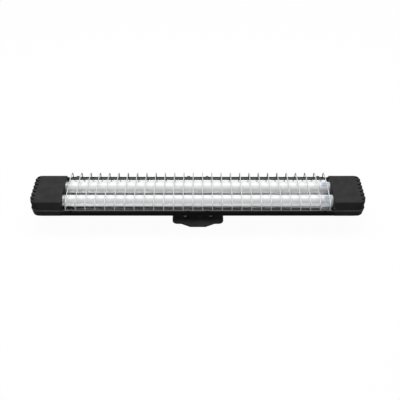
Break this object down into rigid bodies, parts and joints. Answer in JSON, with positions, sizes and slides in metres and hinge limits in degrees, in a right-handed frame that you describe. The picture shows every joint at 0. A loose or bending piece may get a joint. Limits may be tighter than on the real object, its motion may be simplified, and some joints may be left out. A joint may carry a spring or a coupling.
{
  "type": "tube light fixture",
  "caption": "Twin tube light fixture with a bright reflector, ribbed black end caps, a hinged wire guard and a tilting mounting bracket.",
  "frame": {"origin": "middle of the mounting plate's flat underside", "axes": "+X along the tubes towards their driver ends, +Y towards the guard's hinge side, +Z out of the mounting plate towards the side that gives light"},
  "size_m": [0.7114, 0.1244, 0.0774],
  "materials": {
    "bracket_paint": "satin black powder coat",
    "housing_paint": "satin black powder coat",
    "cap_plastic": "fine-grained black moulding",
    "reflector_aluminium": "polished sheet",
    "guard_wire": "bright plated wire",
    "screw_steel": "zinc plated",
    "screw_black": "blackened",
    "bracket_steel": "zinc plated sheet",
    "lampholder_plastic": "white moulding",
    "rotor_plastic": "white moulding",
    "opal_cover": "opal white",
    "clear_cover": "frosted, slightly blue",
    "spine_anodised": "dark anodised extrusion",
    "ferrule_aluminium": "satin pressing",
    "circuit_board": "white solder mask",
    "label_film": "blue-grey film, bare",
    "lead_insulation": "grey sheath",
    "gland_rubber": "soft black"
  },
  "bodies": {
    "mount": {"mount_plate": "bracket_paint", "mount_screw_1": "screw_steel", "mount_screw_2": "screw_steel", "mount_screw_3": "screw_steel", "mount_screw_4": "screw_steel", "pivot_bolt": "screw_steel", "pivot_nut": "screw_steel"},
    "housing": {"housing_tray": "housing_paint", "tilt_shoe": "bracket_paint", "shoe_screw_1": "screw_steel", "shoe_screw_2": "screw_steel", "reflector": "reflector_aluminium", "left_end_cap": "cap_plastic", "right_end_cap": "cap_plastic", "left_end_base": "cap_plastic", "right_end_base": "cap_plastic", "left_cap_screw": "screw_steel", "right_cap_screw": "screw_steel", "front_left_lampholder": "lampholder_plastic", "front_right_lampholder": "lampholder_plastic", "rear_left_lampholder": "lampholder_plastic", "rear_right_lampholder": "lampholder_plastic", "left_lampholder_bracket": "bracket_steel", "right_lampholder_bracket": "bracket_steel", "terminal_block": "lampholder_plastic", "earth_screw": "screw_steel", "cable_gland": "gland_rubber", "front_tube_lead": "lead_insulation", "rear_tube_lead": "lead_insulation", "hinge_strip": "bracket_steel", "latch_strip": "housing_paint", "near_flange_screw_1": "screw_black", "near_flange_screw_2": "screw_black", "near_flange_screw_3": "screw_black", "near_flange_screw_4": "screw_black", "far_flange_screw_1": "screw_black", "far_flange_screw_2": "screw_black", "far_flange_screw_3": "screw_black", "far_flange_screw_4": "screw_black"},
    "guard": {"wire_guard": "guard_wire"},
    "front_tube": {"front_tube_diffuser": "opal_cover", "front_tube_spine": "spine_anodised", "front_tube_led_board": "circuit_board", "front_tube_driver_cover": "clear_cover", "front_tube_driver": "circuit_board", "front_tube_label": "label_film", "front_tube_left_ferrule": "ferrule_aluminium", "front_tube_right_ferrule": "ferrule_aluminium", "front_tube_left_rotor": "rotor_plastic", "front_tube_right_rotor": "rotor_plastic"},
    "rear_tube": {"rear_tube_diffuser": "opal_cover", "rear_tube_spine": "spine_anodised", "rear_tube_led_board": "circuit_board", "rear_tube_driver_cover": "clear_cover", "rear_tube_driver": "circuit_board", "rear_tube_label": "label_film", "rear_tube_left_ferrule": "ferrule_aluminium", "rear_tube_right_ferrule": "ferrule_aluminium", "rear_tube_left_rotor": "rotor_plastic", "rear_tube_right_rotor": "rotor_plastic"}
  },
  "joints": [
    {"name": "tilt", "type": "hinge", "parent": "mount", "child": "housing", "pos_m": [0, 0, 0.013], "axis": [1, 0, 0], "range_deg": [-30, 30]},
    {"name": "guard_swing", "type": "hinge", "parent": "housing", "child": "guard", "pos_m": [0, 0.0601, 0.0565], "axis": [-1, 0, 0], "range_deg": [0, 95]},
    {"name": "front_tube_turn", "type": "hinge", "parent": "housing", "child": "front_tube", "pos_m": [0, -0.0231, 0.054], "axis": [1, 0, 0], "range_deg": [0, 90]},
    {"name": "rear_tube_turn", "type": "hinge", "parent": "housing", "child": "rear_tube", "pos_m": [0, 0.0231, 0.054], "axis": [1, 0, 0], "range_deg": [0, 90]}
  ]
}
